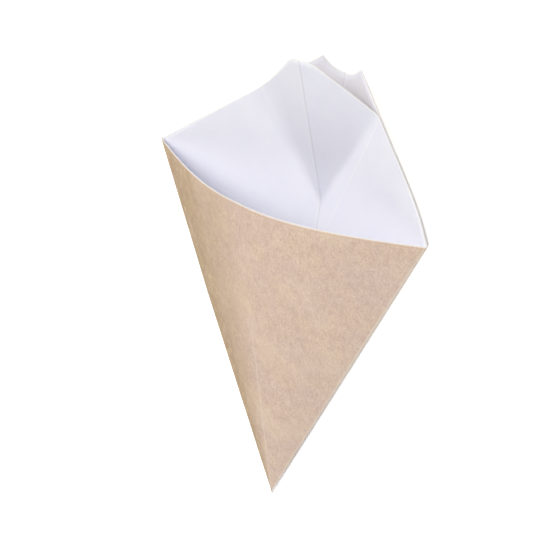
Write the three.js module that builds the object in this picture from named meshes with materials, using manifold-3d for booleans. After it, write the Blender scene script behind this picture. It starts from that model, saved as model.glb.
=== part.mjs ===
// A cone for french fries, folded from one die-cut blank of kraft board, with a sauce pocket at its back.
// The blank is three wedge panels side by side, all with their points at the tip of the cone:
// the outer back, the front and the partition. The blank is rolled up at two side folds, so that the
// partition comes to lie just in front of the outer back, and both are glued together along their sides.
// The raised top of the partition is then pushed forward along two slanted folds, which leaves the sauce
// pocket open behind it. The cone can't stand, so it lies on the left half of its outer back.
// Millimetres, +Z up, +Y from the tip towards the raised top, origin on the resting face.

import * as THREE from 'three';
import { mergeVertices } from 'three/addons/utils/BufferGeometryUtils.js';
import Module from 'manifold-3d';

// Board
const BOARD_THICKNESS = 0.45;
const PLY_GAP = 0.3;              // between the outer back and the partition
const FOLD_INSIDE_RADIUS = 0.2;   // of the tighter side fold, around the partition

// Blank, flat
const SIDE_LENGTH = 180;          // from the tip to either corner of the mouth
const PANEL_ANGLE = 64.5;         // degrees, between the two sides of a panel
const BACK_LENGTH = 218;          // from the tip to the point of the raised top
const NOTCH_RADIUS = 22.5;        // shallow round notch in the point of the outer back
const NOTCH_RISE = 8.7;           // from that point up to the middle of the notch's circle
const NOTCH_SHIFT = 1.8;          // from the centre fold to that middle, to the right
const POINT_RADIUS = 18.4;        // rounded point of the partition
const TIP_CUT = 1.5;              // taken off every panel at the tip

// Opened cone, at the height of the mouth's corners
const BACK_DEPTH = 25.9;          // from the corners back to the centre fold
const FRONT_ROUNDNESS = 0.64;     // 0 is a sharp centre fold, and larger values are rounder
const FRONT_BOW = 2;              // the right half of the front bows out by this
const BACK_BOW = 1.9;             // the right half of the back bows out by this
const BACK_BOW_SKEW = 2.4;        // 1 puts that bow in the middle, and larger values nearer to the side

// Slanted folds of the pushed-out partition
const POCKET_BOTTOM = 143.6;      // from the tip, on the centre fold
const LEFT_FOLD_END = 67.7;       // from the left corner, on the edge of the raised top
const RIGHT_FOLD_END = 71.2;      // from the right corner, on the edge of the raised top
const FOLD_SOFTNESS = 0.8;        // a fold bends over this depth on each side of its line
const LOOSE_SOFTNESS = 4.4;       // the same at the loose upper end of the left fold

// Glue strips between the outer back and the partition
const GLUE_WIDTH_ANGLE = 3;       // degrees
const GLUE_INSET_ANGLE = 0.8;     // degrees, from the side folds
const GLUE_START = 14;            // from the tip
const GLUE_END_MARGIN = 8;        // below the mouth's corners
const GLUE_BITE = 0.06;           // how far a strip reaches into the board on each side

// Fineness of the mesh
const BACK_COLUMNS = 8;
const FRONT_COLUMNS = 24;
const PARTITION_COLUMNS = 18;
const PARTITION_CROWDING = 1.25;  // above 1 its columns crowd towards the centre fold
const SIDE_FOLD_COLUMNS = 4;
const GLUE_COLUMNS = 3;
const ROWS_BELOW_FOLD = 5;
const ROWS_IN_FOLD = 4;
const ROWS_ABOVE_FOLD = 3;
const TOP_ROWS = [3, 1.5];        // where there is no slanted fold, its rows end this far below the top
const SAMPLES_PER_COLUMN = 20;
const NOTCH_FACETS = 72;
const NOTCH_CUTTER_DEPTH = 28;    // clears the outer back and stays behind the partition
const NUDGE = 1e-4;               // step for the direction of a curved panel
const MERGE_DISTANCE = 1e-5;

const KRAFT = 0xd8c0ad;

const wasm = await Module();
wasm.setup();

const vec = (x, y, z) => new THREE.Vector3(x, y, z);
const { degToRad, lerp, clamp } = THREE.MathUtils;
const spread = (count) => Array.from({ length: count + 1 }, (_, i) => i / count);

// Finds where a rising function passes zero
function rootBetween(low, high, rising) {
  for (let step = 0; step < 50; step += 1) {
    const middle = (low + high) / 2;
    if (rising(middle) < 0) low = middle;
    else high = middle;
  }
  return (low + high) / 2;
}

// The core is the cone without thickness, with its tip at zero and its corners to the left and right.
// Its back is two halves that meet at the centre fold. A ply is the core moved outwards by a distance.
const HALF_ANGLE = degToRad(PANEL_ANGLE / 2);
const FLAT_HEIGHT = SIDE_LENGTH * Math.cos(HALF_ANGLE);

// The centre fold keeps its angle to both sides, so its depth sets how high and how far out they stand
const OPENED_HEIGHT = Math.hypot(FLAT_HEIGHT, 2 * BACK_DEPTH);
const CORNER_HEIGHT = Math.sqrt(FLAT_HEIGHT * (FLAT_HEIGHT + OPENED_HEIGHT) / 2);
const HALF_MOUTH = Math.sqrt(SIDE_LENGTH ** 2 - CORNER_HEIGHT ** 2);
const LEFT_SIDE = vec(-HALF_MOUTH, 0, CORNER_HEIGHT).normalize();
const RIGHT_SIDE = vec(HALF_MOUTH, 0, CORNER_HEIGHT).normalize();
const CENTRE_FOLD = vec(0, BACK_DEPTH, CORNER_HEIGHT).normalize();
const LEFT_NORMAL = LEFT_SIDE.clone().cross(CENTRE_FOLD).normalize();
const RIGHT_NORMAL = CENTRE_FOLD.clone().cross(RIGHT_SIDE).normalize();

// Distances from the core to the plies' middle layers
const PARTITION_OFFSET = FOLD_INSIDE_RADIUS + BOARD_THICKNESS / 2;
const OUTER_BACK_OFFSET = PARTITION_OFFSET + BOARD_THICKNESS + PLY_GAP;

// Direction from the tip along the back, at an angle from the centre fold that is negative on the left
function backDirection(angle) {
  const side = angle < 0 ? LEFT_SIDE : RIGHT_SIDE;
  const turn = Math.abs(angle);
  const direction = CENTRE_FOLD.clone().multiplyScalar(Math.sin(HALF_ANGLE - turn));
  direction.addScaledVector(side, Math.sin(turn)).divideScalar(Math.sin(HALF_ANGLE));
  if (angle > 0) {
    const bow = BACK_BOW * Math.sin(Math.PI * (turn / HALF_ANGLE) ** BACK_BOW_SKEW);
    direction.addScaledVector(RIGHT_NORMAL, bow / SIDE_LENGTH);
  }
  return direction.normalize();
}

// Outward normals of the back on both sides of a place, which differ only at the centre fold
function backNormals(angle) {
  if (angle === 0) return [LEFT_NORMAL, RIGHT_NORMAL];
  const normal = backDirection(angle * (1 - NUDGE)).cross(backDirection(angle)).normalize();
  normal.multiplyScalar(Math.sign(angle));
  return [normal, normal];
}

// Direction from the tip along the front, at a place from -1, the left side, to 1, the right side
function frontDirection(place, depth) {
  const corner = Math.hypot(1, FRONT_ROUNDNESS) - FRONT_ROUNDNESS;
  const rise = (Math.hypot(place, FRONT_ROUNDNESS) - FRONT_ROUNDNESS) / corner;
  const bow = FRONT_BOW * Math.sin(Math.PI * Math.max(place, 0));
  return vec(place * HALF_MOUTH, -depth * (1 - rise) - bow, CORNER_HEIGHT).normalize();
}

// Flat angle that the front covers from its left side up to a place
function frontAngle(place, depth) {
  const steps = Math.round(FRONT_COLUMNS * SAMPLES_PER_COLUMN * (place + 1) / 2);
  const line = spread(Math.max(steps, 1)).map((share) => frontDirection(lerp(-1, place, share), depth));
  return line.slice(1).reduce((sum, direction, i) => sum + direction.angleTo(line[i]), 0);
}

// The front is as wide as the back when flat, and that sets how far it stands out
const FRONT_DEPTH = rootBetween(0, SIDE_LENGTH, (depth) => frontAngle(1, depth) - 2 * HALF_ANGLE);

// Distance from the tip to the edge of the raised top, on the flat panel
const POINT_HALF_ANGLE = Math.atan2(SIDE_LENGTH * Math.sin(HALF_ANGLE), BACK_LENGTH - FLAT_HEIGHT);
const edgeRadius = (angle) => BACK_LENGTH * Math.sin(POINT_HALF_ANGLE)
  / Math.sin(POINT_HALF_ANGLE + Math.abs(angle));

// The same for the partition, whose point is rounded
function roundedEdgeRadius(angle) {
  const centre = BACK_LENGTH - POINT_RADIUS / Math.sin(POINT_HALF_ANGLE);
  const tangent = POINT_RADIUS / Math.tan(POINT_HALF_ANGLE);
  const endHeight = BACK_LENGTH - tangent * Math.cos(POINT_HALF_ANGLE);
  const endAngle = Math.atan2(tangent * Math.sin(POINT_HALF_ANGLE), endHeight);
  if (Math.abs(angle) >= endAngle) return edgeRadius(angle);
  return centre * Math.cos(angle) + Math.sqrt(POINT_RADIUS ** 2 - (centre * Math.sin(angle)) ** 2);
}

// Offset that keeps a sheet's thickness on both sides of a sharp fold
function mitre(before, after) {
  return before.clone().add(after).divideScalar(1 + before.dot(after));
}

// Point of the partition's middle layer before its top is pushed forward
function lyingPoint(angle, radius) {
  const across = mitre(...backNormals(angle)).multiplyScalar(PARTITION_OFFSET);
  return backDirection(angle).multiplyScalar(radius).add(across);
}

// End of a slanted fold, on the edge of the raised top
function foldEnd(sign, distance) {
  const edgeDirection = Math.PI - POINT_HALF_ANGLE;
  const x = SIDE_LENGTH * Math.sin(HALF_ANGLE) - distance * Math.sin(edgeDirection);
  const y = FLAT_HEIGHT - distance * Math.cos(edgeDirection);
  return lyingPoint(sign * Math.atan2(x, y), Math.hypot(x, y));
}

// The pushed-out part is the mirror image, in the plane of both slanted folds, of how it lay before
const FOLD_START = lyingPoint(0, POCKET_BOTTOM);
const LEFT_END = foldEnd(-1, LEFT_FOLD_END);
const RIGHT_END = foldEnd(1, RIGHT_FOLD_END);
const FOLD_NORMAL = LEFT_END.clone().sub(FOLD_START).cross(RIGHT_END.clone().sub(FOLD_START)).normalize();

// How far a point lies behind that plane, and how softly the fold bends there
function depthBehindFold(point, angle) {
  const fromStart = point.clone().sub(FOLD_START);
  const fold = (angle < 0 ? LEFT_END : RIGHT_END).clone().sub(FOLD_START);
  const place = clamp(fromStart.dot(fold) / fold.lengthSq(), 0, 1);
  const softness = angle < 0 ? lerp(FOLD_SOFTNESS, LOOSE_SOFTNESS, place) : FOLD_SOFTNESS;
  return { depth: fromStart.dot(FOLD_NORMAL), softness };
}

// Pushes a point of the partition forward, and turns the normals of the sheet on both sides of it
function pushForward(point, normals, angle) {
  const { depth, softness } = depthBehindFold(point, angle);
  const into = clamp((depth + softness) / (2 * softness), 0, 1);
  const move = into < 1 ? softness * into ** 2 : depth;
  const turned = normals.map((normal) => normal.clone().multiplyScalar(1 - 2 * into)
    .addScaledVector(FOLD_NORMAL, 2 * into * FOLD_NORMAL.dot(normal)).normalize());
  return { point: point.clone().addScaledVector(FOLD_NORMAL, -2 * move), normals: turned };
}

// Distances from the tip of a column's points: they crowd around the slanted fold
function columnRadii(top, foldLow = Infinity, foldHigh = Infinity) {
  const low = Math.min(foldLow, top - TOP_ROWS[0]);
  const high = Math.min(foldHigh, top - TOP_ROWS[1]);
  return [
    ...spread(ROWS_BELOW_FOLD).map((share) => lerp(TIP_CUT, low, share)),
    ...spread(ROWS_IN_FOLD).slice(1).map((share) => lerp(low, high, share)),
    ...spread(ROWS_ABOVE_FOLD).slice(1).map((share) => lerp(high, top, share)),
  ];
}

// Two faces of the sheet at one point of its middle layer
function facesAt(point, normals, thickness = BOARD_THICKNESS) {
  const across = mitre(...normals).multiplyScalar(thickness / 2);
  return [point.clone().add(across), point.clone().sub(across)];
}

// A column of a plain ply: a straight line from the tip
function plainColumn(direction, normals, offset, radii, thickness) {
  const shift = mitre(...normals).multiplyScalar(offset);
  const pointAt = (radius) => direction.clone().multiplyScalar(radius).add(shift);
  return radii.map((radius) => facesAt(pointAt(radius), normals, thickness));
}

function outerBackColumns() {
  const angles = spread(2 * BACK_COLUMNS).map((share) => lerp(HALF_ANGLE, -HALF_ANGLE, share));
  return angles.map((angle) => plainColumn(backDirection(angle), backNormals(angle), OUTER_BACK_OFFSET,
    columnRadii(edgeRadius(angle))));
}

// Outward normal of the front, which has no sharp fold
function frontNormal(place) {
  const before = frontDirection(place - NUDGE, FRONT_DEPTH);
  return frontDirection(place + NUDGE, FRONT_DEPTH).cross(before).normalize();
}

// The front's top edge is straight when flat, and its offset shrinks as the blank spirals inwards
function frontColumns() {
  return spread(FRONT_COLUMNS).map((share) => {
    const place = lerp(-1, 1, share);
    const angle = frontAngle(place, FRONT_DEPTH) - HALF_ANGLE;
    const normal = frontNormal(place);
    const offset = lerp(OUTER_BACK_OFFSET, PARTITION_OFFSET, share);
    const top = FLAT_HEIGHT / Math.cos(angle);
    return plainColumn(frontDirection(place, FRONT_DEPTH), [normal, normal], offset, columnRadii(top));
  });
}

// A side fold turns the sheet's normal about the side
function sideFoldColumns(side, before, after, offset) {
  const axis = before.clone().cross(after).normalize();
  return spread(SIDE_FOLD_COLUMNS).slice(1, -1).map((share) => {
    const normal = before.clone().applyAxisAngle(axis, before.angleTo(after) * share);
    return plainColumn(side, [normal, normal], offset, columnRadii(SIDE_LENGTH));
  });
}

function partitionColumn(angle) {
  const top = roundedEdgeRadius(angle);
  const behind = (radius) => depthBehindFold(lyingPoint(angle, radius), angle);
  const foldRadius = (sign) => rootBetween(0, 2 * BACK_LENGTH, (radius) => {
    const { depth, softness } = behind(radius);
    return depth - sign * softness;
  });
  return columnRadii(top, foldRadius(-1), foldRadius(1)).map((radius) => {
    const pushed = pushForward(lyingPoint(angle, radius), backNormals(angle), angle);
    return facesAt(pushed.point, pushed.normals);
  });
}

function partitionColumns() {
  const turns = spread(PARTITION_COLUMNS).map((share) => HALF_ANGLE * share ** PARTITION_CROWDING);
  const right = turns.slice(1).reverse();
  const left = turns.slice(1).map((turn) => -turn);
  return [...right, 0, ...left].map(partitionColumn);
}

// Closed body of a sheet from its columns, each a list of points on the outer and the inner face
function sheetGeometry(columns) {
  const rows = columns[0].length;
  const top = rows - 1;
  const corner = (column, row, face) => (column * rows + row) * 2 + face;
  const index = [];
  const quad = (a, b, c, d) => index.push(a, b, c, a, c, d);
  const last = columns.length - 1;
  for (let i = 0; i < last; i += 1) {
    for (let j = 0; j < top; j += 1) {
      quad(corner(i, j, 0), corner(i + 1, j, 0), corner(i + 1, j + 1, 0), corner(i, j + 1, 0));
      quad(corner(i, j, 1), corner(i, j + 1, 1), corner(i + 1, j + 1, 1), corner(i + 1, j, 1));
    }
    quad(corner(i + 1, 0, 0), corner(i, 0, 0), corner(i, 0, 1), corner(i + 1, 0, 1));
    quad(corner(i, top, 0), corner(i + 1, top, 0), corner(i + 1, top, 1), corner(i, top, 1));
  }
  for (let j = 0; j < top; j += 1) {
    quad(corner(0, j, 0), corner(0, j + 1, 0), corner(0, j + 1, 1), corner(0, j, 1));
    quad(corner(last, j + 1, 0), corner(last, j, 0), corner(last, j, 1), corner(last, j + 1, 1));
  }
  const points = columns.flat(2).flatMap((point) => point.toArray());
  const geometry = new THREE.BufferGeometry();
  geometry.setAttribute('position', new THREE.Float32BufferAttribute(points, 3));
  geometry.setIndex(index);
  return geometry;
}

function solidOf(geometry) {
  const bare = geometry.clone();
  bare.deleteAttribute('normal');
  bare.deleteAttribute('uv');
  const merged = mergeVertices(bare, MERGE_DISTANCE);
  const vertProperties = Float32Array.from(merged.attributes.position.array);
  const triVerts = Uint32Array.from(merged.index.array);
  return new wasm.Manifold(new wasm.Mesh({ numProp: 3, vertProperties, triVerts }));
}

function geometryOf(solid) {
  const mesh = solid.getMesh();
  const geometry = new THREE.BufferGeometry();
  geometry.setAttribute('position', new THREE.BufferAttribute(mesh.vertProperties, 3));
  geometry.setIndex(new THREE.BufferAttribute(mesh.triVerts, 1));
  geometry.computeVertexNormals();
  return geometry;
}

// The rolled-up blank, one sheet from the free edge of the outer back to the free edge of the partition
function boardSheet() {
  const leftFold = sideFoldColumns(LEFT_SIDE, LEFT_NORMAL, frontNormal(-1), OUTER_BACK_OFFSET);
  const rightNormal = backNormals(HALF_ANGLE)[0];
  const rightFold = sideFoldColumns(RIGHT_SIDE, frontNormal(1), rightNormal, PARTITION_OFFSET);
  return sheetGeometry([
    ...outerBackColumns(),
    ...leftFold,
    ...frontColumns(),
    ...rightFold,
    ...partitionColumns(),
  ]);
}

// A glue strip fills the gap between the outer back and the partition, next to a side fold
function glueStrip(sign) {
  const inner = HALF_ANGLE - degToRad(GLUE_INSET_ANGLE + GLUE_WIDTH_ANGLE);
  const outer = HALF_ANGLE - degToRad(GLUE_INSET_ANGLE);
  const offset = (PARTITION_OFFSET + OUTER_BACK_OFFSET) / 2;
  const radii = [GLUE_START, SIDE_LENGTH - GLUE_END_MARGIN];
  const ends = sign < 0 ? [-inner, -outer] : [outer, inner];
  return sheetGeometry(spread(GLUE_COLUMNS).map((share) => {
    const angle = lerp(...ends, share);
    return plainColumn(backDirection(angle), backNormals(angle), offset, radii, PLY_GAP + 2 * GLUE_BITE);
  }));
}

// Round cutter for the notch, which is a circle on the flat blank: the centre fold narrows it
function notchCutter() {
  const through = LEFT_NORMAL.clone().add(RIGHT_NORMAL).normalize();
  const cutter = new THREE.CylinderGeometry(1, 1, 1, NOTCH_FACETS);
  const narrowing = through.dot(LEFT_NORMAL);
  cutter.scale(NOTCH_RADIUS * narrowing, NOTCH_CUTTER_DEPTH, NOTCH_RADIUS);
  const across = vec(1, 0, 0);
  const middle = CENTRE_FOLD.clone().multiplyScalar(BACK_LENGTH + NOTCH_RISE);
  middle.addScaledVector(mitre(LEFT_NORMAL, RIGHT_NORMAL), OUTER_BACK_OFFSET);
  middle.addScaledVector(across, NOTCH_SHIFT * narrowing);
  const placed = new THREE.Matrix4().makeBasis(across, through, across.clone().cross(through));
  return cutter.applyMatrix4(placed.setPosition(middle));
}

// Lays the cone on the left half of its outer back, with the middle of that half at the origin
function layDown(cone) {
  const up = LEFT_NORMAL.clone().negate();
  const turn = new THREE.Matrix4().makeBasis(CENTRE_FOLD.clone().cross(up), CENTRE_FOLD, up).transpose();
  const middle = LEFT_SIDE.clone().multiplyScalar(SIDE_LENGTH).addScaledVector(CENTRE_FOLD, BACK_LENGTH);
  middle.divideScalar(3).addScaledVector(LEFT_NORMAL, OUTER_BACK_OFFSET + BOARD_THICKNESS / 2);
  cone.quaternion.setFromRotationMatrix(turn);
  cone.position.copy(middle.applyMatrix4(turn).negate());
}

const notched = solidOf(boardSheet()).subtract(solidOf(notchCutter()));
const glued = [-1, 1].reduce((solid, sign) => solid.add(solidOf(glueStrip(sign))), notched);
const kraft = new THREE.MeshStandardMaterial({ color: KRAFT, roughness: 0.85, metalness: 0 });
const board = new THREE.Mesh(geometryOf(glued), kraft);
board.name = 'folded_board';
layDown(board);

const friesCone = new THREE.Group();
friesCone.name = 'fries_cone';
friesCone.add(board);

export default friesCone;
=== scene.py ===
import bpy
import numpy as np
from mathutils import Matrix, Vector


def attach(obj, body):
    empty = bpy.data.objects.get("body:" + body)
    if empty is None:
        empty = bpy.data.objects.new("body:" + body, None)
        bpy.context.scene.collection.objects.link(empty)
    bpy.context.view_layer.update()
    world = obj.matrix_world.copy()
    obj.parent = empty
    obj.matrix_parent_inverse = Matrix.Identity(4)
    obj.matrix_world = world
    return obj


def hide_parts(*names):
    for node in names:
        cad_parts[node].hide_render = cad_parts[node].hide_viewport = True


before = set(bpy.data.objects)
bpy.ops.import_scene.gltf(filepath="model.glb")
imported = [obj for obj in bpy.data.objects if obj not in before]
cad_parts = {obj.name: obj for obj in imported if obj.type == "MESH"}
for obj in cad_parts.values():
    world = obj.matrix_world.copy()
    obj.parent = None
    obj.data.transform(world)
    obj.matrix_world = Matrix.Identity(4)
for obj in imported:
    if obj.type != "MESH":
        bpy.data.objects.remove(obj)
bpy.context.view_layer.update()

# The blank: one sheet of white coated kraft board, die cut as a fan of three equal panels round the tip.
# The panels are the outer back, the front and the partition, and they share one tip and one side length.
# Sizes are in millimetres and the sheet is shaped upright on its tip, then laid down at the end.
MM = 0.001
BOARD = 0.4
SIDE = 180.0
HALF_PANEL = np.radians(64.5 / 2)
BACK_LENGTH = 218.0
SIDE_FLAT = SIDE * np.cos(HALF_PANEL)
SIDE_HALF_WIDTH = SIDE * np.sin(HALF_PANEL)
PEAK_ANGLE = np.arctan2(SIDE_HALF_WIDTH, BACK_LENGTH - SIDE_FLAT)
NOTCH_RADIUS = 22.5
NOTCH_RISE = 8.7
NOTCH_SHIFT = 1.8
POINT_RADIUS = 18.4
FIRST_ROW = 0.12
ROWS = 64


def unit(v):
    return v / np.linalg.norm(v, axis=-1, keepdims=True)


def smooth(x):
    x = np.clip(x, 0, 1)
    return x * x * (3 - 2 * x)


def edge_reach(angle, shift):
    """How far a ray runs inside the panel before it meets the slanted top edge, when the panel has slid by shift."""
    turned = np.where(angle < 0, -1.0, 1.0)
    across = turned * np.cos(PEAK_ANGLE)
    along = np.sin(PEAK_ANGLE)
    reach = along * BACK_LENGTH - across * shift[0] - along * shift[1]
    return reach / (across * np.sin(angle) + along * np.cos(angle))


# Rolled shape: each half of the back is flat between the tip, its side fold and the centre fold.
# The front is bowed over the back so that its flat width stays the same as the back's.
BACK_DEPTH = 25.9
BACK_BOW = 1.9
BACK_BOW_SKEW = 2.4
FRONT_ROUNDNESS = 0.64
FRONT_BOW = 2.0
PARTITION_PLY = 0.5
PLY_PITCH = 0.43
PRESSED_LENGTH = 100.0

HEIGHT = np.sqrt(SIDE_FLAT * (SIDE_FLAT + np.hypot(SIDE_FLAT, 2 * BACK_DEPTH)) / 2)
HALF_WIDTH = np.sqrt(SIDE**2 - HEIGHT**2)
LEFT_SIDE = np.array([-HALF_WIDTH, 0, HEIGHT]) / SIDE
RIGHT_SIDE = np.array([HALF_WIDTH, 0, HEIGHT]) / SIDE
CENTRE_FOLD = unit(np.array([0, BACK_DEPTH, HEIGHT]))
LEFT_NORMAL = unit(np.cross(LEFT_SIDE, CENTRE_FOLD))
RIGHT_NORMAL = unit(np.cross(CENTRE_FOLD, RIGHT_SIDE))
BACK_MITRE = (LEFT_NORMAL + RIGHT_NORMAL) / (1 + LEFT_NORMAL @ RIGHT_NORMAL)
OUTER_PLY = PARTITION_PLY + PLY_PITCH


def back_direction(angle):
    part = np.abs(angle)[:, None]
    side = np.where(angle[:, None] < 0, LEFT_SIDE, RIGHT_SIDE)
    ray = (np.sin(HALF_PANEL - part) * CENTRE_FOLD + np.sin(part) * side) / np.sin(HALF_PANEL)
    share = np.clip(np.abs(angle) / HALF_PANEL, 0, 1)
    bow = np.where(angle > 0, BACK_BOW * np.sin(np.pi * share**BACK_BOW_SKEW), 0)[:, None]
    return unit(ray + bow / SIDE * RIGHT_NORMAL)


def back_normal(angle):
    away = np.where(np.abs(angle) < 1e-6, 1e-6, angle)
    turn = np.cross(back_direction(away * (1 - 1e-4)), back_direction(away))
    straight = unit(turn) * np.sign(away)[:, None]
    return np.where(np.abs(angle)[:, None] < 1e-6, BACK_MITRE, straight)


def front_direction(share, depth):
    corner = np.hypot(1, FRONT_ROUNDNESS) - FRONT_ROUNDNESS
    rise = (np.hypot(share, FRONT_ROUNDNESS) - FRONT_ROUNDNESS) / corner
    bulge = FRONT_BOW * np.sin(np.pi * np.maximum(share, 0))
    return unit(np.stack([share * HALF_WIDTH, -depth * (1 - rise) - bulge, np.full_like(share, HEIGHT)], 1))


def front_angles(share, depth):
    ray = front_direction(share, depth)
    return np.append(0, np.cumsum(np.arccos(np.clip((ray[1:] * ray[:-1]).sum(1), -1, 1))))


front_shares = np.linspace(-1, 1, 961)
shallow, deep = 0.0, 120.0
for _ in range(50):
    front_depth = (shallow + deep) / 2
    if front_angles(front_shares, front_depth)[-1] < 2 * HALF_PANEL:
        shallow = front_depth
    else:
        deep = front_depth
front_spread = front_angles(front_shares, front_depth) - HALF_PANEL


def stacked(reach, normal, ply):
    """A ply stands off the rolled shape by its place in the stack, and all plies are pressed into one at the tip."""
    open_part = np.clip(reach / PRESSED_LENGTH, 0, 1)[..., None]
    return normal * ply * open_part + (1 - open_part) * OUTER_PLY * BACK_MITRE


def rows_for(columns):
    return np.linspace(0, 1, ROWS)[:, None] * np.ones(columns)


def flat_place(reach, turned):
    return np.stack([reach * np.sin(turned), reach * np.cos(turned), np.zeros_like(reach)], -1)


MEASURED = ("centre", "side", "rim", "pop", "vee")
FAR = 500.0
strips = []


def keep_strip(place, flat, panel, **distances):
    """One strip of the sheet, with its place on the flat blank and how far each point is from the lines cut or scored."""
    shape = place.shape[:2]
    strip = {"place": place, "blank": flat * MM, "panel": np.full(shape, float(panel))}
    for name in MEASURED:
        strip[name] = np.broadcast_to(distances.get(name, FAR), shape) * MM
    strips.append(strip)


# Outer back: the first panel of the spiral, behind all others, with the notch cut from its raised top.
# Its right edge is the free cut edge of the blank. Towards the tip it stands just past the side fold, and the tip
# is a little lower than the others.
FREE_EDGE = 1.0
FREE_EDGE_TURN = np.radians(0.62)

slide = FREE_EDGE / np.sin(2 * HALF_PANEL)
slide_flat = np.array([slide * np.sin(HALF_PANEL), -slide * np.cos(HALF_PANEL)])
crease_side = np.radians([0.07, 0.2, 0.4, 0.65])


def side_columns(corner, near, wide, end=HALF_PANEL):
    """Ray angles on one side of the centre fold: close together at the fold and up to the corner of the cut top."""
    near_angles = np.linspace(crease_side[-1], corner, near + 1)[1:]
    return np.concatenate([crease_side, near_angles, np.linspace(corner, end, wide + 1)[1:]])


def notch_corner(sign):
    """Ray angle at which the notch's circle leaves the panel through one of its two slanted top edges."""
    slant = NOTCH_RISE * np.cos(PEAK_ANGLE) - sign * NOTCH_SHIFT * np.sin(PEAK_ANGLE)
    down_edge = np.sqrt(slant**2 + NOTCH_RADIUS**2 - NOTCH_RISE**2 - NOTCH_SHIFT**2) - slant
    x = sign * down_edge * np.sin(PEAK_ANGLE) - slide_flat[0]
    y = BACK_LENGTH - down_edge * np.cos(PEAK_ANGLE) - slide_flat[1]
    return abs(np.arctan2(x, y))


right_columns = side_columns(notch_corner(1), 15, 37, HALF_PANEL - FREE_EDGE_TURN)
left_columns = side_columns(notch_corner(-1), 15, 37)
outer_angles = np.concatenate([right_columns[::-1], [0.0], -left_columns])


def notched_top(angle):
    reach = edge_reach(angle, slide_flat)
    ray = np.stack([np.sin(angle), np.cos(angle)], 1)
    to_middle = np.array([NOTCH_SHIFT, BACK_LENGTH + NOTCH_RISE]) - slide_flat
    along = ray @ to_middle
    inside = NOTCH_RADIUS**2 - (to_middle @ to_middle - along**2)
    return np.where(inside > 0, np.minimum(reach, along - np.sqrt(np.maximum(inside, 0))), reach)


top = notched_top(outer_angles)
reach = FIRST_ROW + rows_for(len(outer_angles)) * (top - FIRST_ROW)
place = back_direction(outer_angles) * reach[..., None] - LEFT_SIDE * slide
place = place + stacked(reach, back_normal(outer_angles), OUTER_PLY)
turned = HALF_PANEL - outer_angles
to_free_edge = reach * np.sin(HALF_PANEL - FREE_EDGE_TURN - outer_angles)
keep_strip(place, flat_place(reach, turned * np.ones_like(reach)), 0, centre=reach * np.sin(outer_angles),
           side=reach * np.sin(HALF_PANEL + outer_angles), rim=np.minimum(top - reach, to_free_edge))

# Left side fold: scored and folded soft, it joins the outer back to the front.
# It wraps the folded stack, so it is wider than the right one.
FOLD_COLUMNS = 9


def side_fold(side, start_normal, end_normal, ply, slides, turned, tops, panel):
    step = np.linspace(0, 1, FOLD_COLUMNS + 2)[1:-1]
    normal = unit(start_normal * np.sin((1 - step) * np.pi / 2)[:, None] + end_normal * np.sin(step * np.pi / 2)[:, None])
    normal = unit(normal - (normal @ side)[:, None] * side)
    top = tops[0] + (tops[1] - tops[0]) * step
    reach = FIRST_ROW + rows_for(FOLD_COLUMNS) * (top - FIRST_ROW)
    place = side * reach[..., None] - side * (slides * (1 - step))[:, None]
    place = place + stacked(reach, normal, ply)
    keep_strip(place, flat_place(reach, np.full(reach.shape, turned)), panel, side=0.0, rim=top - reach)


def front_rays(angle):
    share = np.interp(angle, front_spread, front_shares)
    ray = front_direction(share, front_depth)
    normal = unit(np.cross(front_direction(share + 1e-4, front_depth), front_direction(share - 1e-4, front_depth)))
    return ray, normal, (share + 1) / 2


left_front_normal = front_rays(np.array([-HALF_PANEL]))[1][0]
right_front_normal = front_rays(np.array([HALF_PANEL]))[1][0]
side_fold(LEFT_SIDE, LEFT_NORMAL, left_front_normal, OUTER_PLY, slide, 2 * HALF_PANEL, (SIDE + slide, SIDE), 0.5)

# Front: the middle panel, kraft brown outside, bowed forward to open the mouth.
# Its top edge is straight on the blank and becomes the curved rim of the cone.
FRONT_COLUMNS = 97

front_columns = np.linspace(-HALF_PANEL, HALF_PANEL, FRONT_COLUMNS)
top = SIDE_FLAT / np.cos(front_columns)
reach = FIRST_ROW + rows_for(FRONT_COLUMNS) * (top - FIRST_ROW)
ray, normal, share = front_rays(front_columns)
ply = (OUTER_PLY + (PARTITION_PLY - OUTER_PLY) * share)[:, None]
place = ray * reach[..., None] + stacked(reach, normal, ply)
turned = 3 * HALF_PANEL + front_columns
keep_strip(place, flat_place(reach, turned * np.ones_like(reach)), 1, centre=reach * np.sin(front_columns),
           side=reach * np.sin(HALF_PANEL - np.abs(front_columns)), rim=top - reach)

# Right side fold: the tighter fold that joins the front to the partition.
# It lies inside the outer back's free edge.
right_back_normal = back_normal(np.array([HALF_PANEL]))[0]
side_fold(RIGHT_SIDE, right_front_normal, right_back_normal, PARTITION_PLY, 0.0, 4 * HALF_PANEL, (SIDE, SIDE), 1.5)

# Partition: the last panel, glued inside the outer back, with a rounded point instead of a notch.
# Its raised top is pushed forward past two slanted folds, and the centre fold turns inside out there.
POCKET_BOTTOM = 143.6
LEFT_FOLD_END = 67.7
RIGHT_FOLD_END = 71.2
FOLD_SOFTNESS = 0.8
LOOSE_SOFTNESS = 4.4
BELOW_ROWS, FOLD_ROWS = 22, 18
VEE_FOOT = np.array([0.0, 115.8])
VEE_HEAD = np.array([39.2, 190.3])

point_tangent = POINT_RADIUS / np.tan(PEAK_ANGLE)
point_centre = BACK_LENGTH - POINT_RADIUS / np.sin(PEAK_ANGLE)
point_end = np.arctan2(np.sin(PEAK_ANGLE) * point_tangent, BACK_LENGTH - np.cos(PEAK_ANGLE) * point_tangent)
half_columns = side_columns(point_end, 15, 55)
inner_angles = np.concatenate([half_columns[::-1], [0.0], -half_columns])


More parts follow.
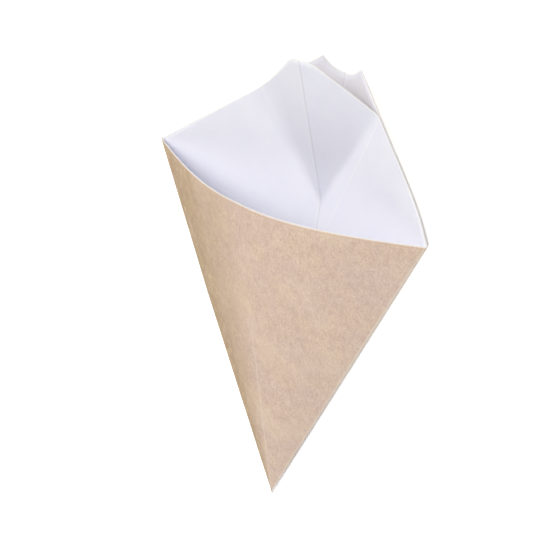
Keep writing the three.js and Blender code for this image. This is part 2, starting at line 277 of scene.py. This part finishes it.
def pointed_top(angle):
    reach = edge_reach(angle, np.zeros(2))
    inside = POINT_RADIUS**2 - (point_centre * np.sin(angle)) ** 2
    rounded = point_centre * np.cos(angle) + np.sqrt(np.maximum(inside, 0))
    return np.where(np.abs(angle) < point_end, rounded, reach)


def lying_partition(angle, reach):
    return back_direction(angle) * reach[..., None] + stacked(reach, back_normal(angle), PARTITION_PLY)


def fold_end(sign, distance):
    x = SIDE_HALF_WIDTH - distance * np.sin(PEAK_ANGLE)
    y = SIDE_FLAT + distance * np.cos(PEAK_ANGLE)
    return lying_partition(np.array([sign * np.arctan2(x, y)]), np.array([np.hypot(x, y)]))[0]


fold_foot = lying_partition(np.array([0.0]), np.array([POCKET_BOTTOM]))[0]
left_fold = fold_end(-1, LEFT_FOLD_END) - fold_foot
right_fold = fold_end(1, RIGHT_FOLD_END) - fold_foot
fold_normal = unit(np.cross(left_fold, right_fold))
fold_normal = fold_normal * np.sign(fold_normal[1])


def past_fold(angle, reach):
    """Distance past the fold, and how soft the fold is there: the left one opens out towards its end."""
    away = lying_partition(angle, reach) - fold_foot
    left = (angle < 0) * np.ones_like(reach) > 0
    along_left = np.clip(away @ left_fold / (left_fold @ left_fold), 0, 1) ** 2
    soft = np.where(left, FOLD_SOFTNESS + (LOOSE_SOFTNESS - FOLD_SOFTNESS) * along_left, FOLD_SOFTNESS)
    return away @ fold_normal, soft


top = pointed_top(inner_angles)
trial = np.linspace(0.6, 1.25, 400)[:, None] * top
past, soft = past_fold(inner_angles, trial)
crossing = np.array([np.interp(0, past[:, i], trial[:, i]) for i in range(len(inner_angles))])
soft_there = np.array([np.interp(0, past[:, i], soft[:, i]) for i in range(len(inner_angles))])
steepness = (past[1] - past[0]) / (trial[1] - trial[0])
band = 1.15 * soft_there / np.maximum(steepness, 0.1)
low = np.minimum(crossing - band, top - 5)
high = np.minimum(crossing + band, top - 2.5)
marks = np.stack([np.full_like(top, FIRST_ROW), low, high, top])
knots = np.array([0, BELOW_ROWS, BELOW_ROWS + FOLD_ROWS, ROWS - 1])
spaced = np.stack([np.interp(np.arange(ROWS), knots, marks[:, i]) for i in range(len(inner_angles))], 1)
even = FIRST_ROW + rows_for(len(inner_angles)) * (top - FIRST_ROW)
blend = smooth((np.abs(inner_angles) / HALF_PANEL - 0.5) / 0.5)
reach = spaced + (even - spaced) * blend
place = lying_partition(inner_angles, reach)
past, soft = past_fold(inner_angles, reach)
pushed = np.where(past < -soft, 0, np.where(past > soft, past, (past + soft) ** 2 / (4 * soft)))
place = place - 2 * pushed[..., None] * fold_normal
turned = 5 * HALF_PANEL - inner_angles
vee_way = unit(VEE_HEAD - VEE_FOOT)
vee = (np.abs(reach * np.sin(inner_angles)) * vee_way[1]) - (reach * np.cos(inner_angles) - VEE_FOOT[1]) * vee_way[0]
keep_strip(place, flat_place(reach, turned * np.ones_like(reach)), 2, centre=reach * np.sin(inner_angles),
           side=reach * np.sin(HALF_PANEL - np.abs(inner_angles)), rim=top - reach, pop=past,
           vee=np.where(inner_angles > 0, vee, FAR))

# Laid down: the cone can't stand, so it rests on the left half of its outer back, as on a counter.
# The sheet is one spiral, so the five strips are joined into one middle surface of the board.
row_axes = np.stack([np.cross(CENTRE_FOLD, -LEFT_NORMAL), CENTRE_FOLD, -LEFT_NORMAL])
resting_middle = (LEFT_SIDE * SIDE + CENTRE_FOLD * BACK_LENGTH) / 3 + LEFT_NORMAL * (OUTER_PLY + BOARD / 2)

sheet = {name: np.concatenate([strip[name] for strip in strips], 1) for name in strips[0]}
sheet["place"] = (sheet["place"] @ row_axes.T - row_axes @ resting_middle) * MM
columns = sheet["panel"].shape[1]


def across_board(place):
    """Mitred direction through the board at each point: the kraft face lies half a board thickness along it."""
    side = np.diff(place, axis=1)
    up = np.diff(place, axis=0)
    faces = unit(np.cross(up[:, :-1] + up[:, 1:], side[:-1] + side[1:]))
    padded = np.pad(faces, ((1, 1), (1, 1), (0, 0)), mode="edge")
    middle = (padded[1:, 1:] + padded[1:, :-1] + padded[:-1, 1:] + padded[:-1, :-1]) / 4
    return middle / np.maximum((middle**2).sum(-1, keepdims=True), 0.3)


sheet["across"] = across_board(sheet["place"])
front_column = int(np.argmax(sheet["panel"][0] == 1)) + FRONT_COLUMNS // 2
if sheet["across"][ROWS // 2, front_column, 2] < 0:
    sheet["across"] = -sheet["across"]

corner = (np.arange(ROWS - 1)[:, None] * columns + np.arange(columns - 1)).ravel()
quads = np.stack([corner, corner + 1, corner + columns + 1, corner + columns], 1)
board_mesh = bpy.data.meshes.new("middle_of_board")
board_mesh.from_pydata(sheet["place"].reshape(-1, 3).tolist(), [], quads.tolist())
for name in ("across", "blank"):
    kept = board_mesh.attributes.new(name, "FLOAT_VECTOR", "POINT")
    kept.data.foreach_set("vector", sheet[name].astype(np.float32).ravel())
for name in MEASURED + ("panel",):
    kept = board_mesh.attributes.new(name, "FLOAT", "POINT")
    kept.data.foreach_set("value", np.ascontiguousarray(sheet[name], dtype=np.float32).ravel())
board_mesh.update()
first = board_mesh.polygons[(ROWS // 2) * (columns - 1) + front_column]
turned_in = first.normal.dot(Vector(sheet["across"][ROWS // 2, front_column])) < 0
if turned_in:
    board_mesh.flip_normals()


def paint(red, green, blue):
    """A colour as a screen shows it, from 0 to 255, as the light values that a shader takes."""
    tone = np.array([red, green, blue]) / 255
    return tuple(np.where(tone <= 0.04045, tone / 12.92, ((tone + 0.055) / 1.055) ** 2.4)) + (1.0,)


class Finish:
    """A material whose nodes are added one by one, each linked to what it is fed from."""

    def __init__(self, name):
        self.material = bpy.data.materials.new(name)
        self.material.use_nodes = True
        self.tree = self.material.node_tree
        self.shader = self.tree.nodes["Principled BSDF"]

    def add(self, kind, feeds=None, **settings):
        node = self.tree.nodes.new(kind)
        for name, value in settings.items():
            setattr(node, name, value)
        for socket, value in (feeds or {}).items():
            self.feed(node.inputs[socket], value)
        return node

    def feed(self, socket, value):
        if isinstance(value, bpy.types.NodeSocket):
            self.tree.links.new(value, socket)
        else:
            socket.default_value = value

    def from_sheet(self, name):
        node = self.add("ShaderNodeAttribute", attribute_name=name)
        return node.outputs["Vector" if name == "blank" else "Fac"]

    def maths(self, operation, first, second=0.0):
        return self.add("ShaderNodeMath", {0: first, 1: second}, operation=operation).outputs[0]

    def band(self, value, start, end):
        """1 up to start, falling softly to 0 at end."""
        node = self.add("ShaderNodeMapRange", {"Value": value, "From Min": start, "From Max": end,
                                               "To Min": 1.0, "To Max": 0.0}, interpolation_type="SMOOTHSTEP")
        return node.outputs["Result"]

    def line(self, distance, middle, half_width):
        """1 on a line that runs at a set distance from the one measured, falling to 0 at its half width."""
        away = self.maths("ABSOLUTE", self.maths("SUBTRACT", distance, middle))
        return self.band(away, 0.0, half_width)

    def noise(self, place, scale, detail=3.0, rough=0.55):
        return self.add("ShaderNodeTexNoise", {"Vector": place, "Scale": scale, "Detail": detail,
                                               "Roughness": rough}).outputs["Fac"]

    def spread(self, value, low, high, to_low, to_high):
        return self.add("ShaderNodeMapRange", {"Value": value, "From Min": low, "From Max": high,
                                               "To Min": to_low, "To Max": to_high}).outputs["Result"]

    def mix(self, share, first, second, blend="MIX"):
        node = self.add("ShaderNodeMix", data_type="RGBA", blend_type=blend)
        self.feed(node.inputs[0], share)
        self.feed(node.inputs[6], first)
        self.feed(node.inputs[7], second)
        return node.outputs[2]

    def fibres(self, place, length, width, turn, detail=2.0):
        """Noise drawn out into streaks of a length and a width, turned from the blank's own X direction."""
        laid = self.add("ShaderNodeMapping", {"Vector": place, "Scale": (length, width, 1.0),
                                              "Rotation": (0.0, 0.0, turn)}, vector_type="TEXTURE")
        return self.noise(laid.outputs["Vector"], 1.0, detail)

    def finish(self, colour, roughness, specular, height=None, strength=0.3, depth=0.0002):
        self.feed(self.shader.inputs["Base Color"], colour)
        self.feed(self.shader.inputs["Roughness"], roughness)
        self.shader.inputs["Specular IOR Level"].default_value = specular
        if height is not None:
            bump = self.add("ShaderNodeBump", {"Height": height, "Strength": strength, "Distance": depth})
            self.feed(self.shader.inputs["Normal"], bump.outputs["Normal"])
        return self.material


# Kraft face: the unbleached outside of the board, with a short soft fibre grain and fine mottling.
# It has painted shade that darkens it and makes it browner towards the left side fold, and it is paler where it is
# scored, folded or cut.
kraft = Finish("kraft_face")
grain_place = kraft.from_sheet("blank")
centre, side, rim, panel = (kraft.from_sheet(name) for name in ("centre", "side", "rim", "panel"))
cloudy = kraft.noise(grain_place, 46.0, 3.0, 0.6)
blotched = kraft.noise(grain_place, 230.0, 3.0, 0.6)
fine_grain = kraft.noise(grain_place, 1100.0, 2.0, 0.6)
tufted = kraft.spread(kraft.noise(grain_place, 150.0, 3.0, 0.6), 0.36, 0.64, 0.1, 1.0)
steep_fibres = kraft.fibres(grain_place, 0.0036, 0.0009, 0.45)
light_fibres = kraft.fibres(grain_place, 0.0030, 0.0008, 1.3)
crossing_fibres = kraft.fibres(grain_place, 0.0028, 0.0010, -0.45)
colour = kraft.mix(kraft.spread(cloudy, 0.4, 0.6, 0.0, 1.0), paint(236, 211, 190), paint(233, 208, 196))
colour = kraft.mix(kraft.spread(blotched, 0.36, 0.56, 0.45, 0.0), colour, paint(214, 186, 169))
streaks = kraft.maths("MULTIPLY", kraft.spread(steep_fibres, 0.48, 0.7, 0.0, 0.7), tufted)
colour = kraft.mix(streaks, colour, paint(249, 231, 206))
streaks = kraft.maths("MULTIPLY", kraft.spread(light_fibres, 0.5, 0.72, 0.0, 0.6), tufted)
colour = kraft.mix(streaks, colour, paint(247, 229, 210))
colour = kraft.mix(kraft.spread(crossing_fibres, 0.5, 0.7, 0.0, 0.45), colour, paint(206, 177, 160))
colour = kraft.mix(kraft.spread(fine_grain, 0.35, 0.6, 0.45, 0.0), colour, paint(202, 173, 157))
on_front = kraft.band(kraft.maths("ABSOLUTE", kraft.maths("SUBTRACT", panel, 1.0)), 0.2, 0.4)
from_tip = kraft.add("ShaderNodeVectorMath", {0: grain_place}, operation="LENGTH").outputs["Value"]
towards_side = kraft.spread(kraft.maths("DIVIDE", centre, from_tip), 0.0, -0.45, 0.0, 1.0)
# Painted shade: the front is darkened and browned towards its left side fold, which turns away from the light.
colour = kraft.mix(kraft.maths("MULTIPLY", towards_side, on_front), colour, (0.72, 0.675, 0.545, 1.0), "MULTIPLY")
drawn_out = kraft.maths("MULTIPLY", kraft.spread(steep_fibres, 0.45, 0.66, 0.0, 0.8), towards_side)
colour = kraft.mix(kraft.maths("MULTIPLY", drawn_out, tufted), colour, paint(240, 214, 180))
patches = kraft.noise(grain_place, 34.0, 2.0)
colour = kraft.mix(kraft.spread(patches, 0.5, 0.68, 0.0, 0.24), colour, paint(247, 228, 204))
speck_cells = kraft.add("ShaderNodeTexVoronoi", {"Vector": grain_place, "Scale": 140.0}, feature="F1")
speck = kraft.maths("MULTIPLY", kraft.band(speck_cells.outputs["Distance"], 0.03, 0.085),
                    kraft.maths("GREATER_THAN", speck_cells.outputs["Color"], 0.9))
colour = kraft.mix(kraft.maths("MULTIPLY", speck, 0.5), colour, paint(142, 112, 94))
scored = kraft.line(centre, 0.0, 0.0006)
near_tip = kraft.band(from_tip, 0.07, 0.11)
worn = kraft.maths("MULTIPLY", kraft.maths("MULTIPLY", scored, near_tip), 0.5)
worn = kraft.maths("MAXIMUM", worn, kraft.maths("MULTIPLY", kraft.band(side, 0.0, 0.0008), 0.65))
left_side = kraft.maths("MULTIPLY", kraft.spread(centre, -0.0006, 0.0006, 1.0, 0.0), kraft.band(side, 0.0004, 0.0020))
worn = kraft.maths("MAXIMUM", worn, kraft.maths("MULTIPLY", left_side, 0.7))
colour = kraft.mix(worn, colour, paint(246, 232, 220))
pressed_rim = kraft.maths("MULTIPLY", kraft.line(rim, 0.0013, 0.0007), 0.45)
colour = kraft.mix(pressed_rim, colour, paint(203, 174, 154))
colour = kraft.mix(kraft.maths("MULTIPLY", kraft.band(rim, 0.0002, 0.0006), 0.9), colour, paint(253, 250, 251))
kraft_height = kraft.maths("ADD", kraft.maths("ADD", steep_fibres, crossing_fibres), kraft.maths("MULTIPLY", scored, 0.6))
kraft_face = kraft.finish(colour, kraft.spread(blotched, 0.3, 0.7, 0.78, 0.9), 0.18, kraft_height, 0.35, 0.00008)

# White face: the smooth clay coated inside of the board, a little blue, with the lines that are scored into it.
# Each line is a fine bumped furrow with a raised lip beside it, with painted shade in the furrow and a painted
# highlight on the lip: the centre folds, the two slanted folds that the partition's top is pushed out along, and a
# spare score to the right of them that isn't folded. A painted highlight also runs along the cut top edge.
white = Finish("white_face")
place_on_blank = white.from_sheet("blank")
centre, side, rim, pop, vee, panel = (white.from_sheet(name) for name in ("centre", "side", "rim", "pop", "vee", "panel"))
on_partition = white.band(white.maths("ABSOLUTE", white.maths("SUBTRACT", panel, 2.0)), 0.2, 0.4)
on_outer_back = white.band(panel, 0.1, 0.4)
pushed_out = white.spread(pop, -0.0006, 0.0006, 0.0, 1.0)
left_half = white.spread(centre, -0.0006, 0.0006, 1.0, 0.0)
near_ends = white.maths("SUBTRACT", 1.0, white.band(white.maths("ABSOLUTE", white.maths("ADD", centre, 0.02)), 0.008, 0.014))


def share_of(*parts):
    """The product of shares, each from 0 to 1."""
    product = parts[0]
    for part in parts[1:]:
        product = white.maths("MULTIPLY", product, part)
    return product


# Painted shade: each furrow is greyed where shade falls in it, as well as dented by the bump.
furrow_dents_and_painted_shade = [
    share_of(white.line(centre, 0.0005, 0.0008), pushed_out, on_partition, 0.38),
    share_of(white.line(centre, 0.0, 0.0006), white.maths("SUBTRACT", 1.0, pushed_out), on_partition, 0.5),
    share_of(white.line(vee, 0.0004, 0.0005), on_partition, 0.12),
    share_of(white.line(centre, -0.0001, 0.0004), on_outer_back, 0.4),
]
# Painted highlight: each lip and the strip along the cut top edge are whitened where light catches them, as well as
# raised by the bump.
lip_bumps_and_painted_highlights = [
    share_of(white.line(centre, -0.0006, 0.0008), on_partition, 0.55),
    share_of(white.line(vee, -0.0003, 0.0008), on_partition, 0.5),
    share_of(white.line(pop, -0.0004, 0.0008), left_half, near_ends, on_partition, 0.25),
    share_of(white.line(centre, 0.0009, 0.0007), on_outer_back, 0.5),
    white.maths("MULTIPLY", white.band(rim, 0.0005, 0.0011), 0.9),
]
furrow_dent_and_painted_shade, lip_bump_and_painted_highlight = furrow_dents_and_painted_shade[0], lip_bumps_and_painted_highlights[0]
for other in furrow_dents_and_painted_shade[1:]:
    furrow_dent_and_painted_shade = white.maths("MAXIMUM", furrow_dent_and_painted_shade, other)
for other in lip_bumps_and_painted_highlights[1:]:
    lip_bump_and_painted_highlight = white.maths("MAXIMUM", lip_bump_and_painted_highlight, other)
faint = white.noise(place_on_blank, 70.0, 3.0)
fine = white.noise(place_on_blank, 900.0, 3.0, 0.6)
colour = white.mix(white.spread(faint, 0.35, 0.65, 0.0, 1.0), paint(241, 241, 252), paint(244, 244, 253))
colour = white.mix(white.spread(fine, 0.3, 0.7, 0.0, 0.35), colour, paint(236, 235, 248))
# Painted shade: the outer back's white face is darkened and cooled, as it lies in shade behind the partition.
colour = white.mix(on_outer_back, colour, (0.92, 0.94, 0.97, 1.0), "MULTIPLY")
# Painted highlight on the lips and along the cut top edge.
colour = white.mix(lip_bump_and_painted_highlight, colour, paint(253, 252, 255))
# Painted shade in the furrows.
colour = white.mix(furrow_dent_and_painted_shade, colour, paint(214, 212, 222))
white_height = white.maths("SUBTRACT", white.maths("ADD", white.maths("MULTIPLY", fine, 0.12), lip_bump_and_painted_highlight), furrow_dent_and_painted_shade)
white_face = white.finish(colour, white.spread(faint, 0.3, 0.7, 0.5, 0.62), 0.3, white_height, 0.25, 0.0001)

# Cut edge: the pale core of the board, bared by the die, with its fibres showing.
core = Finish("cut_edge")
core_fibres = core.noise(core.from_sheet("blank"), 1400.0, 3.0)
core_colour = core.mix(core.spread(core_fibres, 0.35, 0.65, 0.0, 1.0), paint(245, 241, 240), paint(253, 251, 252))
core_colour = core.mix(core.spread(core.from_sheet("kraft_depth"), 0.7, 1.0, 0.0, 0.35), core_colour, paint(196, 178, 168))
cut_edge = core.finish(core_colour, 0.8, 0.15, core_fibres, 0.3, 0.00005)


# Board thickness: the middle surface is given its two faces and its cut edge all round.
def thickness_tree():
    tree = bpy.data.node_groups.new("board_thickness", "GeometryNodeTree")
    sockets = tree.interface
    sockets.new_socket("Middle of the board", in_out="INPUT", socket_type="NodeSocketGeometry")
    sockets.new_socket("Board thickness", in_out="INPUT", socket_type="NodeSocketFloat")
    sockets.new_socket("Kraft face", in_out="INPUT", socket_type="NodeSocketMaterial")
    sockets.new_socket("White face", in_out="INPUT", socket_type="NodeSocketMaterial")
    sockets.new_socket("Cut edge", in_out="INPUT", socket_type="NodeSocketMaterial")
    sockets.new_socket("Board", in_out="OUTPUT", socket_type="NodeSocketGeometry")

    def add(kind, feeds=None, **settings):
        node = tree.nodes.new(kind)
        for name, value in settings.items():
            setattr(node, name, value)
        for socket, value in (feeds or {}).items():
            if isinstance(value, bpy.types.NodeSocket):
                tree.links.new(value, node.inputs[socket])
            else:
                node.inputs[socket].default_value = value
        return node

    given = add("NodeGroupInput").outputs
    across = add("GeometryNodeInputNamedAttribute", {"Name": "across"}, data_type="FLOAT_VECTOR").outputs["Attribute"]
    through = add("ShaderNodeVectorMath", {0: across, "Scale": given["Board thickness"]}, operation="SCALE").outputs[0]
    inward = add("ShaderNodeVectorMath", {0: through, "Scale": -0.5}, operation="SCALE").outputs[0]
    inside = add("GeometryNodeSetPosition", {"Geometry": given["Middle of the board"], "Offset": inward}).outputs[0]
    raised = add("GeometryNodeExtrudeMesh", {"Mesh": inside, "Offset": through, "Offset Scale": 1.0,
                                            "Individual": False}, mode="FACES")
    flipped = add("GeometryNodeFlipFaces", {"Mesh": inside}).outputs[0]
    marked = raised.outputs["Mesh"]
    for name, chosen in (("kraft_side", raised.outputs["Top"]), ("cut_side", raised.outputs["Side"])):
        marked = add("GeometryNodeStoreNamedAttribute", {"Geometry": marked, "Name": name, "Value": chosen},
                     data_type="BOOLEAN", domain="FACE").outputs[0]
    marked = add("GeometryNodeStoreNamedAttribute", {"Geometry": marked, "Name": "kraft_depth", "Value": 1.0,
                                                     "Selection": raised.outputs["Top"]},
                 data_type="FLOAT", domain="POINT").outputs[0]
    joined = add("GeometryNodeJoinGeometry")
    tree.links.new(marked, joined.inputs[0])
    tree.links.new(flipped, joined.inputs[0])
    closed = add("GeometryNodeMergeByDistance", {"Geometry": joined.outputs[0], "Distance": 1e-7}).outputs[0]
    is_cut = add("GeometryNodeInputNamedAttribute", {"Name": "cut_side"}, data_type="BOOLEAN").outputs["Attribute"]
    is_kraft = add("GeometryNodeInputNamedAttribute", {"Name": "kraft_side"}, data_type="BOOLEAN").outputs["Attribute"]
    not_cut = add("FunctionNodeBooleanMath", {0: is_cut}, operation="NOT").outputs[0]
    shaded = add("GeometryNodeSetShadeSmooth", {0: closed, "Shade Smooth": not_cut}).outputs[0]
    whole = add("GeometryNodeRealizeInstances", {0: shaded}).outputs[0]
    dressed = add("GeometryNodeSetMaterial", {0: whole, "Material": given["White face"]}).outputs[0]
    dressed = add("GeometryNodeSetMaterial", {0: dressed, "Selection": is_kraft,
                                              "Material": given["Kraft face"]}).outputs[0]
    dressed = add("GeometryNodeSetMaterial", {0: dressed, "Selection": is_cut,
                                              "Material": given["Cut edge"]}).outputs[0]
    add("NodeGroupOutput", {"Board": dressed})
    return tree


board = bpy.data.objects.new("folded_kraft_board", board_mesh)
bpy.context.scene.collection.objects.link(board)
thickness = board.modifiers.new("board_thickness", "NODES")
thickness.node_group = thickness_tree()
chosen = {"Board thickness": BOARD * MM, "Kraft face": kraft_face, "White face": white_face, "Cut edge": cut_edge}
for socket in thickness.node_group.interface.items_tree:
    if socket.name in chosen:
        thickness[socket.identifier] = chosen[socket.name]
finished_board = bpy.data.meshes.new_from_object(board.evaluated_get(bpy.context.evaluated_depsgraph_get()))
board.modifiers.remove(thickness)
board.data = finished_board
board.data.name = "folded_kraft_board"
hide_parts("folded_board")
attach(board, "root")

# Counter: a plain pale surface under the cone, white to the camera, which keeps the cone's soft shadow.
FLOOR_HALF = 3.0
FLOOR_TONE = 0.8

floor_mesh = bpy.data.meshes.new("counter")
floor_mesh.from_pydata([(-FLOOR_HALF, -FLOOR_HALF, 0), (FLOOR_HALF, -FLOOR_HALF, 0), (FLOOR_HALF, FLOOR_HALF, 0),
                        (-FLOOR_HALF, FLOOR_HALF, 0)], [], [(0, 1, 2, 3)])
floor = bpy.data.objects.new("counter", floor_mesh)
bpy.context.scene.collection.objects.link(floor)
pale = Finish("pale_counter")
pale.feed(pale.shader.inputs["Base Color"], (FLOOR_TONE, FLOOR_TONE, FLOOR_TONE, 1.0))
pale.shader.inputs["Roughness"].default_value = 0.9
pale.shader.inputs["Specular IOR Level"].default_value = 0.0
light_path = pale.add("ShaderNodeLightPath")
seen = pale.maths("MAXIMUM", light_path.outputs["Is Camera Ray"], light_path.outputs["Is Glossy Ray"])
seen = pale.maths("MAXIMUM", seen, light_path.outputs["Is Transmission Ray"])
pale.shader.inputs["Emission Color"].default_value = (1.0, 1.0, 1.0, 1.0)
pale.feed(pale.shader.inputs["Emission Strength"], pale.maths("MULTIPLY", seen, 0.7))
floor_mesh.materials.append(pale.material)

# Light: four wide soft lamps round the cone and a little even light, so that no side of it falls dark.
WORLD_LIGHT = 0.1

world = bpy.data.worlds.new("even_light")
bpy.context.scene.world = world
world.use_nodes = True
sky = world.node_tree.nodes["Background"]
sky.inputs["Color"].default_value = (1.0, 1.0, 1.0, 1.0)
ray_kind = world.node_tree.nodes.new("ShaderNodeLightPath")
seen_sky = world.node_tree.nodes.new("ShaderNodeMath")
seen_sky.operation = "MAXIMUM"
world.node_tree.links.new(ray_kind.outputs["Is Camera Ray"], seen_sky.inputs[0])
world.node_tree.links.new(ray_kind.outputs["Is Glossy Ray"], seen_sky.inputs[1])
through_sky = world.node_tree.nodes.new("ShaderNodeMath")
through_sky.operation = "MAXIMUM"
world.node_tree.links.new(seen_sky.outputs[0], through_sky.inputs[0])
world.node_tree.links.new(ray_kind.outputs["Is Transmission Ray"], through_sky.inputs[1])
sky_strength = world.node_tree.nodes.new("ShaderNodeMapRange")
sky_strength.inputs["To Min"].default_value = WORLD_LIGHT
sky_strength.inputs["To Max"].default_value = 1.0
world.node_tree.links.new(through_sky.outputs[0], sky_strength.inputs["Value"])
world.node_tree.links.new(sky_strength.outputs["Result"], sky.inputs["Strength"])


def soft_lamp(name, way, watts, tone):
    lamp = bpy.data.lights.new(name, "AREA")
    lamp.size = LAMP_WIDTH
    lamp.energy = watts
    lamp.color = tone
    holder = bpy.data.objects.new(name, lamp)
    bpy.context.scene.collection.objects.link(holder)
    holder.location = Vector(way) * LAMP_DISTANCE
    holder.rotation_euler = (-Vector(way)).to_track_quat("-Z", "Y").to_euler()
    return holder


LAMP_DISTANCE = 1.6
LAMP_WIDTH = 1.0
soft_lamp("upper_left_lamp", (-0.5, 0.5, 0.71), 18.0, (1.0, 0.99, 0.93))
soft_lamp("camera_side_lamp", (0.53, 0.25, 0.81), 7.2, (1.0, 1.0, 1.0))
soft_lamp("tip_side_lamp", (0.0, -0.7, 0.71), 5.7, (1.0, 0.98, 0.93))
soft_lamp("low_right_lamp", (0.7, -0.6, 0.4), 4.6, (0.92, 0.97, 1.0))

# Camera: above the cone and to its right, where the photograph shows it upright with its tip down.
CAMERA_PLACE = (0.35939, 0.15243, 0.52627)
LOOKS = (-0.52992, -0.26342, -0.80610)
CAMERA_UP = (-0.28135, 0.95131, -0.12591)
FOCAL_PIXELS = 1388.2
FRAME_PIXELS = 550

camera_data = bpy.data.cameras.new("camera")
camera_data.sensor_width = 36.0
camera_data.lens = FOCAL_PIXELS / FRAME_PIXELS * camera_data.sensor_width
camera_data.clip_start = 0.01
camera = bpy.data.objects.new("camera", camera_data)
bpy.context.scene.collection.objects.link(camera)
looks = Vector(LOOKS).normalized()
right = looks.cross(Vector(CAMERA_UP)).normalized()
above = right.cross(looks)
camera.matrix_world = Matrix.Translation(CAMERA_PLACE) @ Matrix((right, above, -looks)).transposed().to_4x4()
bpy.context.scene.camera = camera
bpy.context.scene.view_settings.view_transform = "Standard"
